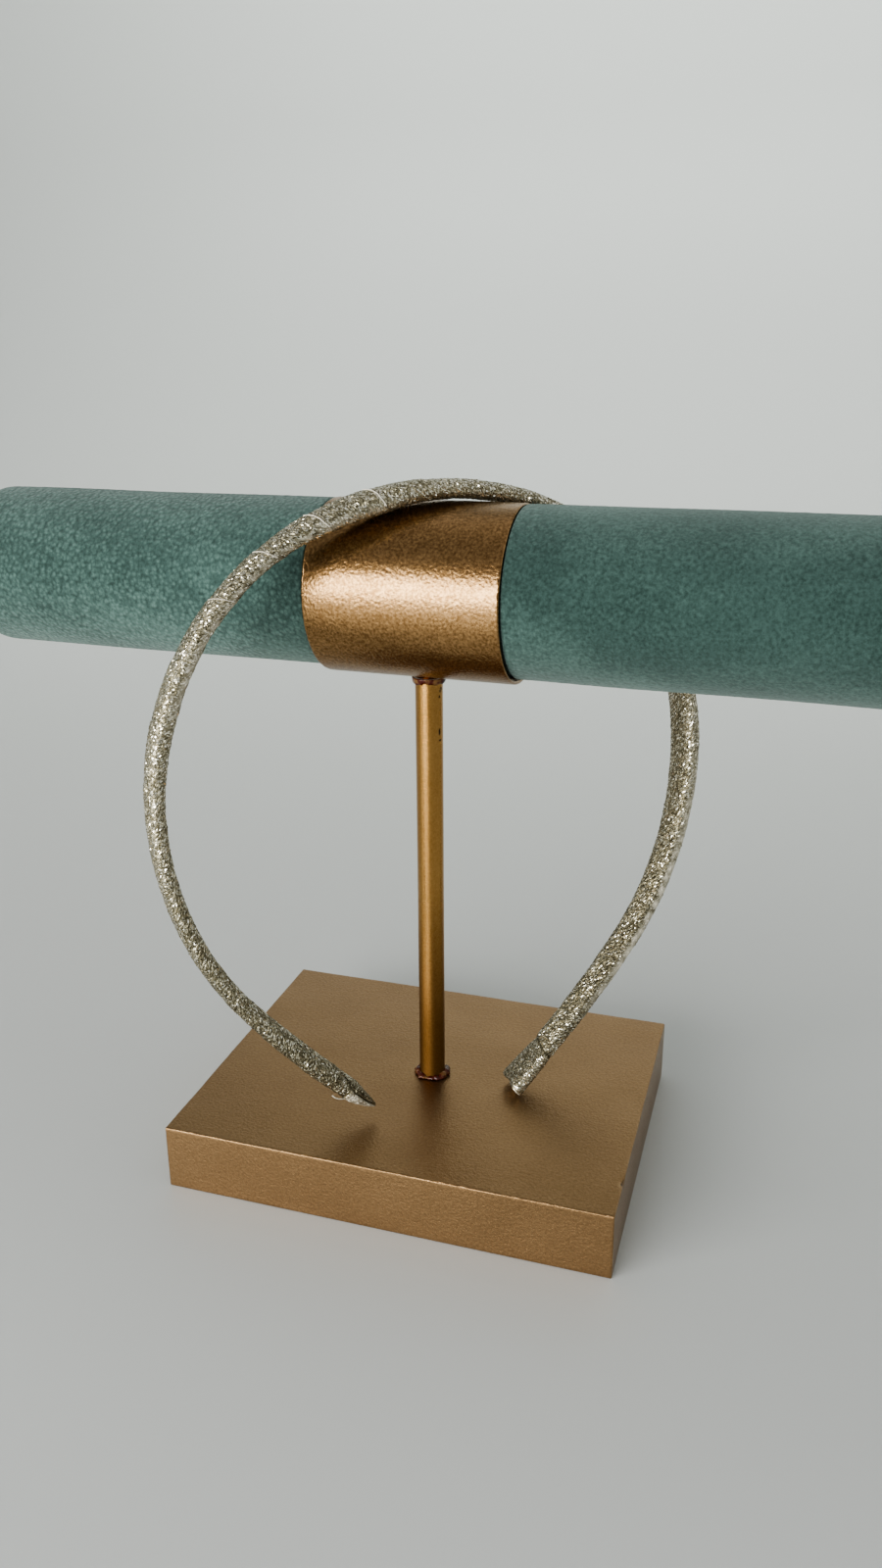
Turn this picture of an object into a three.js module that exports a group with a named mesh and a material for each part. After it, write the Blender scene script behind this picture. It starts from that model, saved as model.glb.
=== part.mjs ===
import * as THREE from "three";
import { mergeVertices } from "three/addons/utils/BufferGeometryUtils.js";

// Sizes are in millimetres, +Z is up, and the origin is the middle of the block's underside.
const GAP = 0.3;

const BASE_WIDTH = 105;
const BASE_DEPTH = 80;
const BASE_HEIGHT = 16;
const BASE_EDGE = 0.6;

const POST_RADIUS = 3;

const SLEEVE_LENGTH = 42.6;
const SLEEVE_RADIUS = 18.9;
const SLEEVE_WALL = 1;
const SLEEVE_HEIGHT = 137.1;

const ROLL_LENGTH = 220;
const ROLL_RADIUS = 18.2;
const ROLL_RIM = 5;
const ROLL_SHOULDER = 0.9;
const ROLL_HEIGHT = SLEEVE_HEIGHT + 0.5;
const BAR_TURN_DEG = -1.73;

const FOOT_BEAD_RADIUS = 4.6;
const FOOT_BEAD_HEIGHT = 1.3;
const HEAD_BEAD_RADIUS = 3.9;
const HEAD_BEAD_HEIGHT = 1.6;

// Half of the headband's middle line, from the crown to a tip: each arc runs on from the last.
const BAND_ARCS = [
  { name: "crown", radius: 63.2, sweepDeg: 92.3 },
  { name: "temple", radius: 73.6, sweepDeg: 36.7 },
  { name: "tail", radius: 246, sweepDeg: 10.1 },
];
const LEFT_TIP = -189;
const RIGHT_TIP = 194.4;
const WOUND_FROM = -178.5;
const WOUND_TO = 181.5;

// The band's section along its length, before a turn's rise is added.
// Columns: at is the distance from the crown along the middle line, negative to the left.
const BAND_SIZES = [
  { at: LEFT_TIP, width: 6.9, thickness: 3.3 },
  { at: -88, width: 6.9, thickness: 3.3 },
  { at: -85, width: 7.5, thickness: 3.5 },
  { at: 0, width: 7.6, thickness: 3.5 },
  { at: 80, width: 8, thickness: 3.5 },
  { at: RIGHT_TIP, width: 8.2, thickness: 3.5 },
];
const SECTION_POWER = 3;
const SECTION_POINTS = 16;

const BAND_X = 2.8;
const BAND_Y = -1.9;
const BAND_SEAT_RISE = 0.45;
const BAND_TURN_DEG = 40.8;
const BAND_LEAN_DEG = -4.7;
const BAND_TILT_DEG = 1.05;

// The left leg's end is bent a little out of the band's plane, back and down towards the block.
// The stray is how far its tip lies off the plain curve, in the band's own directions.
const LEFT_BEND_AT = -90;
const LEFT_STRAY = new THREE.Vector3(1.43, 4.12, -2.5);

// The ribbon is wound from the right tip to the left, so each turn's edge lies over the turn on its right.
// One turn's edge crosses the band's far side at TURN_AT.
const TURN_PITCH = 12.6;
const TURN_AT = -18;
const TURN_STEP = 0.4;
const TURN_EDGE = 0.016;

const MATERIALS = {
  ribbon: { color: 0x9c8f6c, roughness: 0.45, metalness: 0.6 },
  bronze: { color: 0x8a5f38, roughness: 0.42, metalness: 0.7 },
  velvet: { color: 0x4c6f65, roughness: 0.95, metalness: 0 },
  brass: { color: 0xa98a50, roughness: 0.3, metalness: 0.9 },
  bead: { color: 0x2c1a12, roughness: 0.25, metalness: 0.2 },
  block: { color: 0x826b49, roughness: 0.5, metalness: 0.55 },
};

const deg = THREE.MathUtils.degToRad;
const root = new THREE.Group();

function addMesh(parent, name, geometry, finish) {
  const mesh = new THREE.Mesh(geometry, new THREE.MeshStandardMaterial(MATERIALS[finish]));
  mesh.name = name;
  parent.add(mesh);
  return mesh;
}

function arcPoints(cx, cy, radius, fromDeg, toDeg, count) {
  const out = [];
  for (let i = 0; i <= count; i += 1) {
    const a = deg(fromDeg + ((toDeg - fromDeg) * i) / count);
    out.push(new THREE.Vector2(cx + radius * Math.cos(a), cy + radius * Math.sin(a)));
  }
  return out;
}

// Flat block with a small bevel on all its edges.
function makeBaseBlock() {
  const w = BASE_WIDTH / 2 - BASE_EDGE;
  const d = BASE_DEPTH / 2 - BASE_EDGE;
  const outline = new THREE.Shape();
  outline.moveTo(-w, -d);
  outline.lineTo(w, -d);
  outline.lineTo(w, d);
  outline.lineTo(-w, d);
  outline.closePath();
  const geometry = new THREE.ExtrudeGeometry(outline, {
    depth: BASE_HEIGHT - 2 * BASE_EDGE,
    bevelEnabled: true,
    bevelThickness: BASE_EDGE,
    bevelSize: BASE_EDGE,
    bevelSegments: 2,
  });
  geometry.translate(0, 0, BASE_EDGE);
  addMesh(root, "base_block", geometry, "block");
}

// Thin rod from the block up to the sleeve.
function makePost() {
  const foot = BASE_HEIGHT + GAP;
  const head = SLEEVE_HEIGHT - SLEEVE_RADIUS - GAP;
  const geometry = new THREE.CylinderGeometry(POST_RADIUS, POST_RADIUS, head - foot, 32);
  geometry.rotateX(Math.PI / 2);
  geometry.translate(0, 0, (foot + head) / 2);
  addMesh(root, "post", geometry, "brass");
}

// A bead is a ring round the rod, flat on the face that it sits on and rounded outside.
function beadGeometry(radius, height, upsideDown) {
  const inner = POST_RADIUS + GAP;
  const lip = 0.12 * height;
  const steps = 8;
  const profile = [new THREE.Vector2(inner, 0), new THREE.Vector2(radius, 0)];
  for (let i = 0; i <= steps; i += 1) {
    const a = (Math.PI / 2) * (i / steps);
    const r = inner + (radius - inner) * Math.cos(a);
    profile.push(new THREE.Vector2(r, lip + (height - lip) * Math.sin(a)));
  }
  profile.push(new THREE.Vector2(inner, 0));
  const geometry = new THREE.LatheGeometry(profile, 40);
  geometry.rotateX(upsideDown ? -Math.PI / 2 : Math.PI / 2);
  return geometry;
}

function makeBeads() {
  const foot = beadGeometry(FOOT_BEAD_RADIUS, FOOT_BEAD_HEIGHT, false);
  foot.translate(0, 0, BASE_HEIGHT + GAP);
  addMesh(root, "foot_bead", foot, "bead");
  const head = beadGeometry(HEAD_BEAD_RADIUS, HEAD_BEAD_HEIGHT, true);
  head.translate(0, 0, SLEEVE_HEIGHT - SLEEVE_RADIUS - GAP);
  addMesh(root, "head_bead", head, "bead");
}

// Thin round tube with slightly eased rims.
function makeBarSleeve(bar) {
  const half = SLEEVE_LENGTH / 2;
  const inner = SLEEVE_RADIUS - SLEEVE_WALL;
  const ease = 0.3;
  const profile = [
    new THREE.Vector2(inner, -half),
    new THREE.Vector2(SLEEVE_RADIUS - ease, -half),
    new THREE.Vector2(SLEEVE_RADIUS, -half + ease),
    new THREE.Vector2(SLEEVE_RADIUS, half - ease),
    new THREE.Vector2(SLEEVE_RADIUS - ease, half),
    new THREE.Vector2(inner, half),
    new THREE.Vector2(inner, -half),
  ];
  const geometry = new THREE.LatheGeometry(profile, 72);
  geometry.rotateZ(-Math.PI / 2);
  const mesh = addMesh(bar, "bar_sleeve", geometry, "bronze");
  mesh.position.z = SLEEVE_HEIGHT;
}

// Velvet-covered roll: a narrow waist inside the sleeve, soft shoulders beside it, rounded ends.
function makeVelvetRoll(bar) {
  const half = ROLL_LENGTH / 2;
  const waist = SLEEVE_RADIUS - SLEEVE_WALL - (ROLL_HEIGHT - SLEEVE_HEIGHT) - GAP;
  const mouth = SLEEVE_LENGTH / 2 + GAP;
  const level = ROLL_RADIUS - ROLL_SHOULDER;
  const shoulder = arcPoints(mouth + ROLL_SHOULDER, level, ROLL_SHOULDER, 180, 90, 6);
  const rim = arcPoints(half - ROLL_RIM, ROLL_RADIUS - ROLL_RIM, ROLL_RIM, 90, 0, 7);
  const right = [
    new THREE.Vector2(mouth, waist),
    ...shoulder.filter((p) => p.y > waist + 0.01),
    ...rim,
    new THREE.Vector2(half, 0),
  ];
  const left = right.map((p) => new THREE.Vector2(-p.x, p.y)).reverse();
  const profile = [...left, ...right].map((p) => new THREE.Vector2(p.y, p.x));
  const geometry = new THREE.LatheGeometry(profile, 64);
  geometry.rotateZ(-Math.PI / 2);
  const mesh = addMesh(bar, "velvet_roll", geometry, "velvet");
  mesh.position.z = ROLL_HEIGHT;
}

// The middle line at an arc length from the crown, negative to the left: place and outward direction.
function bandFrame(s) {
  const side = s < 0 ? -1 : 1;
  let left = Math.abs(s);
  let x = 0;
  let z = 0;
  let turned = 0;
  BAND_ARCS.forEach((arc, i) => {
    const last = i === BAND_ARCS.length - 1;
    const run = last ? left : Math.min(left, arc.radius * deg(arc.sweepDeg));
    const end = turned + run / arc.radius;
    x += arc.radius * (Math.sin(end) - Math.sin(turned));
    z += arc.radius * (Math.cos(end) - Math.cos(turned));
    turned = end;
    left -= run;
  });
  return {
    at: new THREE.Vector3(side * x, 0, z),
    out: new THREE.Vector3(side * Math.sin(turned), 0, Math.cos(turned)),
  };
}

// A rounded section of unit width and thickness, at even steps round a band of the crown's size.
// Columns: out is along the outward direction, deep is away from the front; it starts at the far side.
function unitSection() {
  const crown = bandSize(0);
  const fine = [];
  const count = 720;
  const power = 2 / SECTION_POWER;
  for (let i = 0; i <= count; i += 1) {
    const c = Math.cos((2 * Math.PI * i) / count);
    const s = Math.sin((2 * Math.PI * i) / count);
    fine.push({
      out: (Math.sign(s) * Math.abs(s) ** power) / 2,
      deep: (Math.sign(c) * Math.abs(c) ** power) / 2,
    });
  }
  const run = [0];
  for (let i = 1; i <= count; i += 1) {
    const rise = (fine[i].out - fine[i - 1].out) * crown.thickness;
    const across = (fine[i].deep - fine[i - 1].deep) * crown.width;
    run.push(run[i - 1] + Math.hypot(rise, across));
  }
  const table = [];
  let k = 0;
  for (let j = 0; j < SECTION_POINTS; j += 1) {
    const want = (run[count] * j) / SECTION_POINTS;
    while (run[k + 1] < want) {
      k += 1;
    }
    const f = (want - run[k]) / (run[k + 1] - run[k]);
    table.push({
      out: fine[k].out + f * (fine[k + 1].out - fine[k].out),
      deep: fine[k].deep + f * (fine[k + 1].deep - fine[k].deep),
    });
  }
  return table;
}

// The section's size at a distance from the crown, between the rows of the table.
function bandSize(s) {
  let i = 0;
  while (i + 2 < BAND_SIZES.length && BAND_SIZES[i + 1].at < s) {
    i += 1;
  }
  const a = BAND_SIZES[i];
  const b = BAND_SIZES[i + 1];
  const f = THREE.MathUtils.clamp((s - a.at) / (b.at - a.at), 0, 1);
  return {
    width: a.width + f * (b.width - a.width),
    thickness: a.thickness + f * (b.thickness - a.thickness),
  };
}

function bandPoint(s, out, deep) {
  const frame = bandFrame(s);
  const bend = THREE.MathUtils.clamp((LEFT_BEND_AT - s) / (LEFT_BEND_AT - LEFT_TIP), 0, 1);
  const point = frame.at.clone().addScaledVector(frame.out, out).add(new THREE.Vector3(0, deep, 0));
  return point.addScaledVector(LEFT_STRAY, bend * bend);
}

// A closed solid from rings of equal count: faces between neighbouring rings, and a fan on each end.
// The offset joins a ring's last column to a later ring's first, as in a helix.
function skin(rings, offset) {
  const columns = rings[0].length;
  const positions = rings.flat().flatMap((p) => [p.x, p.y, p.z]);
  const index = [];
  for (let i = 0; i + 1 < rings.length; i += 1) {
    for (let j = 0; j < columns; j += 1) {
      const wrap = j + 1 === columns;
      const a = Math.min(i + (wrap ? offset : 0), rings.length - 1);
      const b = Math.min(i + 1 + (wrap ? offset : 0), rings.length - 1);
      const j2 = wrap ? 0 : j + 1;
      index.push(i * columns + j, a * columns + j2, b * columns + j2);
      index.push(i * columns + j, b * columns + j2, (i + 1) * columns + j);
    }
  }
  const last = (rings.length - 1) * columns;
  for (let j = 1; j + 1 < columns; j += 1) {
    index.push(0, j + 1, j);
    index.push(last, last + j, last + j + 1);
  }
  const geometry = new THREE.BufferGeometry();
  geometry.setAttribute("position", new THREE.Float32BufferAttribute(positions, 3));
  geometry.setIndex(index);
  const merged = mergeVertices(geometry, 0.001);
  const source = merged.index.array;
  const kept = [];
  for (let i = 0; i < source.length; i += 3) {
    const [a, b, c] = [source[i], source[i + 1], source[i + 2]];
    if (a !== b && b !== c && c !== a) {
      kept.push(a, b, c);
    }
  }
  merged.setIndex(kept);
  merged.computeVertexNormals();
  return merged;
}

// Long wound run: each turn rises along its width and steps down at its right edge.
function makeWoundRibbon(band) {
  const section = unitSection();
  const turnRows = [TURN_EDGE, 0.5, 1];
  const first = Math.floor((WOUND_FROM - TURN_AT) / TURN_PITCH) - 2;
  const last = Math.ceil((WOUND_TO - TURN_AT) / TURN_PITCH) + 1;
  const rings = [];
  for (let k = first; k <= last; k += 1) {
    for (const f of turnRows) {
      rings.push(section.map((p, j) => {
        const want = TURN_AT + TURN_PITCH * (k + f + j / SECTION_POINTS);
        const s = THREE.MathUtils.clamp(want, WOUND_FROM, WOUND_TO);
        const rise = s === want && f !== TURN_EDGE ? TURN_STEP * f : 0;
        const size = bandSize(s);
        const reach = Math.hypot(p.out, p.deep);
        const out = p.out * size.thickness + (rise * p.out) / reach;
        const deep = p.deep * size.width + (rise * p.deep) / reach;
        return bandPoint(s, out, deep);
      }));
    }
  }
  addMesh(band, "wound_ribbon", skin(rings, turnRows.length), "ribbon");
}

// Left tip: the ribbon's last stretch is folded over on both sides to a blunt point.
// Columns: run is the share of the fold's length, wide and thick are shares of the section,
// shift is to the front.
const LEFT_FOLD = [
  { run: 0, wide: 1, thick: 1, shift: 0 },
  { run: 0.3, wide: 0.92, thick: 0.98, shift: 0 },
  { run: 0.6, wide: 0.68, thick: 0.88, shift: 0.1 },
  { run: 0.85, wide: 0.4, thick: 0.68, shift: 0.2 },
  { run: 0.97, wide: 0.22, thick: 0.45, shift: 0.3 },
  { run: 1, wide: 0.12, thick: 0.25, shift: 0.3 },
];

// Right tip: the ribbon's first stretch lies flat and is cut square.
const RIGHT_FOLD = [
  { run: 0, wide: 1, thick: 0.94, shift: 0 },
  { run: 0.5, wide: 1, thick: 0.92, shift: 0 },
  { run: 0.94, wide: 1.02, thick: 0.9, shift: 0 },
  { run: 1, wide: 0.97, thick: 0.76, shift: 0 },
];

function makeFold(band, name, table, fromS, toS) {
  const section = unitSection();
  const rings = table.map((row) => section.map((p) => {
    const s = fromS + (toS - fromS) * row.run;
    const size = bandSize(s);
    const out = p.out * size.thickness * row.thick;
    const deep = p.deep * size.width * row.wide - row.shift;
    return bandPoint(s, out, deep);
  }));
  if (toS < fromS) {
    rings.reverse();
  }
  addMesh(band, name, skin(rings, 0), "ribbon");
}

function makeHeadband() {
  const band = new THREE.Group();
  const grown = bandSize(0).thickness / 2 + TURN_STEP;
  const crown = SLEEVE_HEIGHT + SLEEVE_RADIUS + GAP + grown + BAND_SEAT_RISE;
  band.position.set(BAND_X, BAND_Y, crown);
  band.rotation.set(deg(BAND_LEAN_DEG), deg(BAND_TILT_DEG), deg(BAND_TURN_DEG), "ZXY");
  root.add(band);
  makeWoundRibbon(band);
  makeFold(band, "left_end_fold", LEFT_FOLD, WOUND_FROM - GAP, LEFT_TIP);
  makeFold(band, "right_end_fold", RIGHT_FOLD, WOUND_TO + GAP, RIGHT_TIP);
}

function makeBar() {
  const bar = new THREE.Group();
  bar.rotation.z = deg(BAR_TURN_DEG);
  root.add(bar);
  makeBarSleeve(bar);
  makeVelvetRoll(bar);
}

makeBaseBlock();
makePost();
makeBeads();
makeBar();
makeHeadband();

export default root;
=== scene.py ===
import math

import bmesh
import bpy
import numpy as np
from mathutils import Matrix, Vector


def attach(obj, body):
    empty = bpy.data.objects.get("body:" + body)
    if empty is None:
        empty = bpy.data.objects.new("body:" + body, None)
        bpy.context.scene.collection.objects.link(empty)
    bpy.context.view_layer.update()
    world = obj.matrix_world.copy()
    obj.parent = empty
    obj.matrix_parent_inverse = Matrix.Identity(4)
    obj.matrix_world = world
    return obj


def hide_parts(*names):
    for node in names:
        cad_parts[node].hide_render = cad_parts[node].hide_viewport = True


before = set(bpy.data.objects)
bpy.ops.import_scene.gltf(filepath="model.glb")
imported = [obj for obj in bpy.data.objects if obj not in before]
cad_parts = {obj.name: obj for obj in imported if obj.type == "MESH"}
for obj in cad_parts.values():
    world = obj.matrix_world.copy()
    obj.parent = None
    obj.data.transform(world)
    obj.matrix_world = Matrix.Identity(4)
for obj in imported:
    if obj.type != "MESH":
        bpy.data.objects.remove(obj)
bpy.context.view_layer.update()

# View: the stand is seen from the right of its front and a little above the bar.
# The picture stands upright, so the lens covers the picture's height.
MM = 0.001
VIEW_FROM = (79.5, -244.4, 184.5)
VIEW_TURN_DEG = 17.456
VIEW_DROP_DEG = 19.701
VIEW_ROLL_DEG = 0.313
LENS_MM = 27.435

lens = bpy.data.cameras.new("view")
lens.sensor_width = 36
lens.lens = LENS_MM
lens.clip_start = 0.01
view = bpy.data.objects.new("view", lens)
view_turn = (
    Matrix.Rotation(math.radians(VIEW_TURN_DEG), 3, "Z")
    @ Matrix.Rotation(math.radians(90 - VIEW_DROP_DEG), 3, "X")
    @ Matrix.Rotation(math.radians(-VIEW_ROLL_DEG), 3, "Z")
)
view.matrix_world = Matrix.Translation(Vector(VIEW_FROM) * MM) @ view_turn.to_4x4()
bpy.context.collection.objects.link(view)
bpy.context.scene.camera = view
bpy.context.scene.view_settings.view_transform = "AgX"
bpy.context.scene.view_settings.look = "AgX - Medium High Contrast"

# Floor and light: a plain pale floor that curves up far behind, in a surround that is darker overhead
# and at the front. One wide soft light stands at the front and left, as a window does,
# and another lights the floor's far curve.
FLOOR_REACH = 3000
FLOOR_BACK = 1000
FLOOR_CURVE = 500
FLOOR_TOP = 2600
FLOOR_DROP = 0.1
FLOOR_TONE = (0.52, 0.53, 0.51, 1)
SURROUND_LOW = (0.80, 0.83, 0.83, 1)
SURROUND_LOW_TO = 0.15
SURROUND_HIGH = (0.76, 0.77, 0.78, 1)
SURROUND_FRONT = 0.42
SURROUND_FRONT_FADE = (-0.5, 0.4)
SURROUND_SLANT = 0.5
WINDOW_AT = (-400, -810, 275)
WINDOW_SIZE = (900, 420)
WINDOW_POWER = 14.5
WINDOW_AIM = (0, 0, 110)
BACK_AT = (0, 450, 1000)
BACK_SIZE = (2400, 500)
BACK_POWER = 22.5
BACK_AIM = (0, 1300, 620)
BACK_TINT = (0.95, 1.0, 0.975)


def make_piece(name, points, faces, smooth=True):
    """A mesh object from points in millimetres, with its faces turned outwards."""
    mesh = bpy.data.meshes.new(name)
    mesh.from_pydata((np.asarray(points) * MM).tolist(), [], [list(map(int, f)) for f in faces])
    shell = bmesh.new()
    shell.from_mesh(mesh)
    bmesh.ops.recalc_face_normals(shell, faces=shell.faces)
    shell.to_mesh(mesh)
    shell.free()
    mesh.polygons.foreach_set("use_smooth", [smooth] * len(mesh.polygons))
    piece = bpy.data.objects.new(name, mesh)
    bpy.context.collection.objects.link(piece)
    return piece


def new_finish(name, roughness, metallic=0.0):
    """A material with plain values on its shader; returns the material, its shader and its nodes."""
    finish = bpy.data.materials.new(name)
    finish.use_nodes = True
    nodes = finish.node_tree.nodes
    shader = nodes["Principled BSDF"]
    shader.inputs["Roughness"].default_value = roughness
    shader.inputs["Metallic"].default_value = metallic
    return finish, shader, nodes


def add_node(nodes, kind, **values):
    """A shader node with its named properties and its inputs' plain values."""
    node = nodes.new(kind)
    for key, value in values.items():
        if key in node.inputs:
            node.inputs[key].default_value = value
        else:
            setattr(node, key, value)
    return node


def map_value(nodes, link, value, start, end, low=0.0, high=1.0):
    """A value mapped so that start gives low and end gives high, and held there beyond them."""
    node = add_node(nodes, "ShaderNodeMapRange", **{
        "From Min": start, "From Max": end, "To Min": low, "To Max": high,
    })
    link(value, node.inputs["Value"])
    return node.outputs["Result"]


def work_out(nodes, link, operation, *values):
    """The result of a sum over values, each a plain number or another node's output."""
    node = add_node(nodes, "ShaderNodeMath", operation=operation)
    for value, socket in zip(values, node.inputs):
        if isinstance(value, float):
            socket.default_value = value
        else:
            link(value, socket)
    return node.outputs[0]


floor_line = [(-FLOOR_REACH, 0.0), (FLOOR_BACK, 0.0)]
for rise in np.linspace(0, math.pi / 2, 40)[1:]:
    floor_line.append((FLOOR_BACK + FLOOR_CURVE * math.sin(rise), FLOOR_CURVE * (1 - math.cos(rise))))
floor_line.append((FLOOR_BACK + FLOOR_CURVE, FLOOR_TOP))
floor_points = [(x * FLOOR_REACH, y, z - FLOOR_DROP) for y, z in floor_line for x in (-1, 1)]
floor_faces = [(2 * i, 2 * i + 1, 2 * i + 3, 2 * i + 2) for i in range(len(floor_line) - 1)]
floor = make_piece("floor", floor_points, floor_faces)
floor_finish, floor_shader, _ = new_finish("pale_floor", 0.45)
floor_shader.inputs["Base Color"].default_value = FLOOR_TONE
floor.data.materials.append(floor_finish)

surround = bpy.data.worlds.new("pale_surround")
surround.use_nodes = True
surround_nodes, surround_link = surround.node_tree.nodes, surround.node_tree.links.new
surround_way = surround_nodes.new("ShaderNodeTexCoord")
surround_height = surround_nodes.new("ShaderNodeSeparateXYZ")
surround_fade = surround_nodes.new("ShaderNodeValToRGB")
surround_fade.color_ramp.elements[0].position = SURROUND_LOW_TO
surround_fade.color_ramp.elements[0].color = SURROUND_LOW
surround_fade.color_ramp.elements[1].color = SURROUND_HIGH
surround_link(surround_way.outputs["Generated"], surround_height.inputs[0])
surround_link(surround_height.outputs["Z"], surround_fade.inputs["Fac"])
surround_side = work_out(
    surround_nodes, surround_link, "MULTIPLY_ADD",
    surround_height.outputs["X"], SURROUND_SLANT, surround_height.outputs["Y"],
)
surround_front = map_value(
    surround_nodes, surround_link, surround_side, *SURROUND_FRONT_FADE, SURROUND_FRONT,
)
surround_link(surround_fade.outputs["Color"], surround_nodes["Background"].inputs["Color"])
surround_link(surround_front, surround_nodes["Background"].inputs["Strength"])
bpy.context.scene.world = surround

for lamp_name, lamp_at, lamp_size, lamp_power, lamp_aim, lamp_tint in (
    ("window_light", WINDOW_AT, WINDOW_SIZE, WINDOW_POWER, WINDOW_AIM, (1, 1, 1)),
    ("back_light", BACK_AT, BACK_SIZE, BACK_POWER, BACK_AIM, BACK_TINT),
):
    lamp = bpy.data.lights.new(lamp_name, "AREA")
    lamp.shape = "RECTANGLE"
    lamp.size = lamp_size[0] * MM
    lamp.size_y = lamp_size[1] * MM
    lamp.energy = lamp_power
    lamp.color = lamp_tint
    lamp_holder = bpy.data.objects.new(lamp_name, lamp)
    lamp_holder.location = Vector(lamp_at) * MM
    lamp_way = Vector(lamp_aim) - Vector(lamp_at)
    lamp_holder.rotation_euler = lamp_way.to_track_quat("-Z", "Y").to_euler()
    bpy.context.collection.objects.link(lamp_holder)

# Base block: a flat block of fibreboard, sprayed with satin gold-bronze paint.
# Its edges are lightly rounded, and the paint there is rubbed bright, with a painted highlight along them.
BASE_SIZE = (105, 80, 16)
BASE_EDGE = 0.26
BASE_STEP = 0.58
BASE_NICK = (52.5, -28.4, 16)
NICK_REACH = 0.75
NICK_DEPTH = 0.4
# Heights of the paint's soft swell, its grain and its worn edge, and the most that it stands out.
PAINT_SWELL = 0.05
PAINT_GRAIN = 0.012
EDGE_CHIPS = 0.12
EDGE_SINK = 0.03
PAINT_MOST = 0.04
BLOCK_TONES = ((0.248, 0.150, 0.070), (0.322, 0.202, 0.098))
BLOCK_RUBBED_HIGHLIGHT = (0.64, 0.46, 0.27)
BLOCK_CHIPPED = (0.05, 0.028, 0.012)


def grid_faces(rows, columns, wrap_rows=False, wrap_columns=False):
    """Four-sided faces of a grid of points, joined round where it wraps."""
    r, c = np.meshgrid(
        np.arange(rows if wrap_rows else rows - 1),
        np.arange(columns if wrap_columns else columns - 1),
        indexing="ij",
    )
    r2, c2 = (r + 1) % rows, (c + 1) % columns
    quads = np.stack([r * columns + c, r * columns + c2, r2 * columns + c2, r2 * columns + c], -1)
    return quads.reshape(-1, 4)


def lumps(points, size, seed, count=24):
    """A smooth random height over the points, about -1 to 1, with lumps of about the given size."""
    draw = np.random.default_rng(seed)
    height = np.zeros(len(points))
    for _ in range(count):
        way = draw.normal(size=3)
        way *= math.tau / (2 * size * draw.uniform(0.7, 1.4) * np.linalg.norm(way))
        height += np.sin(points @ way + draw.uniform(0, math.tau))
    return height / math.sqrt(2 * count)


def mark(piece, name, values, domain="POINT"):
    """Keeps one value for each point or face, for the finish to read."""
    layer = piece.data.attributes.new(name, "FLOAT", domain)
    layer.data.foreach_set("value", np.asarray(values, np.float32))


def fit_piece(piece, finish, slot, *nodes):
    """Gives a piece its finish and sets it in place of its solids; the slot is not used."""
    piece.data.materials.append(finish)
    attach(piece, "root")
    if nodes:
        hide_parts(*nodes)


def rounded_block(size, edge, step):
    """Points, faces and outward directions of a block with rounded edges, close together at the edges."""
    half = np.array(size) / 2
    flat = half - edge
    rim = edge * np.tan(np.linspace(0, math.pi / 4, 4)[1:])
    lines = []
    for reach in flat:
        inner = np.linspace(-reach, reach, int(2 * reach / step) + 1)
        lines.append(np.concatenate([-(reach + rim)[::-1], inner, reach + rim]))
    points, faces, count = [], [], 0
    for axis in range(3):
        a, b = (axis + 1) % 3, (axis + 2) % 3
        for sign in (-1, 1):
            side = np.zeros((len(lines[a]), len(lines[b]), 3))
            side[..., axis] = sign * half[axis]
            side[..., a] = lines[a][:, None]
            side[..., b] = lines[b][None, :]
            faces.append(grid_faces(*side.shape[:2]) + count)
            points.append(side.reshape(-1, 3))
            count += len(points[-1])
    points, joined = np.unique(np.vstack(points).round(5), axis=0, return_inverse=True)
    core = np.clip(points, -flat, flat)
    away = points - core
    away /= np.linalg.norm(away, axis=1)[:, None]
    return core + away * edge, joined.ravel()[np.vstack(faces)], away


def grain_group():
    """Fine grain and soft patches: a colour between two tones, and a height for bump."""
    group = bpy.data.node_groups.new("fine_grain", "ShaderNodeTree")
    for name, kind in (
        ("Grain Scale", "NodeSocketFloat"), ("Patch Scale", "NodeSocketFloat"),
        ("Patch Share", "NodeSocketFloat"),
        ("Low Tone", "NodeSocketColor"), ("High Tone", "NodeSocketColor"),
    ):
        group.interface.new_socket(name, in_out="INPUT", socket_type=kind)
    for name, kind in (("Color", "NodeSocketColor"), ("Height", "NodeSocketFloat")):
        group.interface.new_socket(name, in_out="OUTPUT", socket_type=kind)
    nodes, link = group.nodes, group.links.new
    given = nodes.new("NodeGroupInput")
    place = nodes.new("ShaderNodeTexCoord")
    fine = add_node(nodes, "ShaderNodeTexNoise", Detail=2.5, Roughness=0.6)
    patch = add_node(nodes, "ShaderNodeTexNoise", Detail=3.0, Roughness=0.55)
    link(place.outputs["Object"], fine.inputs["Vector"])
    link(place.outputs["Object"], patch.inputs["Vector"])
    link(given.outputs["Grain Scale"], fine.inputs["Scale"])
    link(given.outputs["Patch Scale"], patch.inputs["Scale"])
    both = add_node(nodes, "ShaderNodeMix", data_type="FLOAT")
    link(given.outputs["Patch Share"], both.inputs["Factor"])
    link(fine.outputs["Fac"], both.inputs["A"])
    link(patch.outputs["Fac"], both.inputs["B"])
    spread = map_value(nodes, link, both.outputs["Result"], 0.36, 0.64)
    tone = add_node(nodes, "ShaderNodeMix", data_type="RGBA")
    link(spread, tone.inputs["Factor"])
    link(given.outputs["Low Tone"], tone.inputs["A"])
    link(given.outputs["High Tone"], tone.inputs["B"])
    out = nodes.new("NodeGroupOutput")
    link(tone.outputs["Result"], out.inputs["Color"])
    link(fine.outputs["Fac"], out.inputs["Height"])
    return group


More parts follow.
